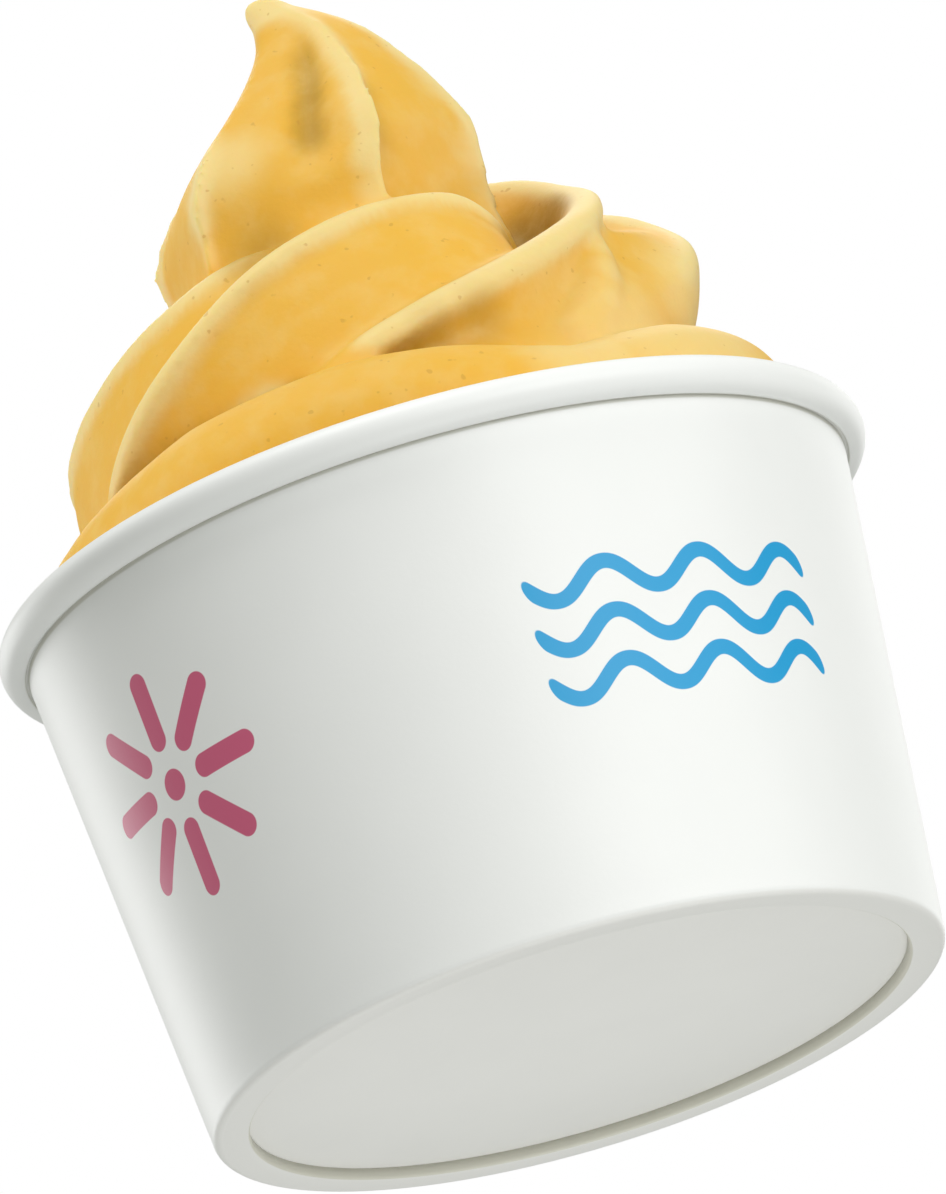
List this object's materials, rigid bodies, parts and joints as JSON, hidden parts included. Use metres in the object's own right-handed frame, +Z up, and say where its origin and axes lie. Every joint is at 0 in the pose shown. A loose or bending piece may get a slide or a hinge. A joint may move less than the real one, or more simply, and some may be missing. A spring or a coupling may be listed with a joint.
{
  "type": "frozen yogurt cup",
  "caption": "Round paper cup filled with frozen yogurt piped in deep spiral folds to a curled peak above the rolled rim; stands on a flat foot ring.",
  "frame": {"origin": "centre of the ring that the cup stands on, on the cup's axis at table height", "axes": "+Z up along the cup's axis; -Y towards the side with the open fold and the two printed marks"},
  "size_m": [0.096, 0.096, 0.1221],
  "materials": {
    "cup_paper": "white coated paper with a soft sheen and a fine grain",
    "base_paper": "plain pale grey paper, matte",
    "yogurt": "frozen yogurt, warm yellow, soft and lightly moist"
  },
  "bodies": {
    "root": {"cup_wall": "cup_paper", "cup_base": "base_paper", "frozen_yogurt": "yogurt"}
  },
  "joints": []
}
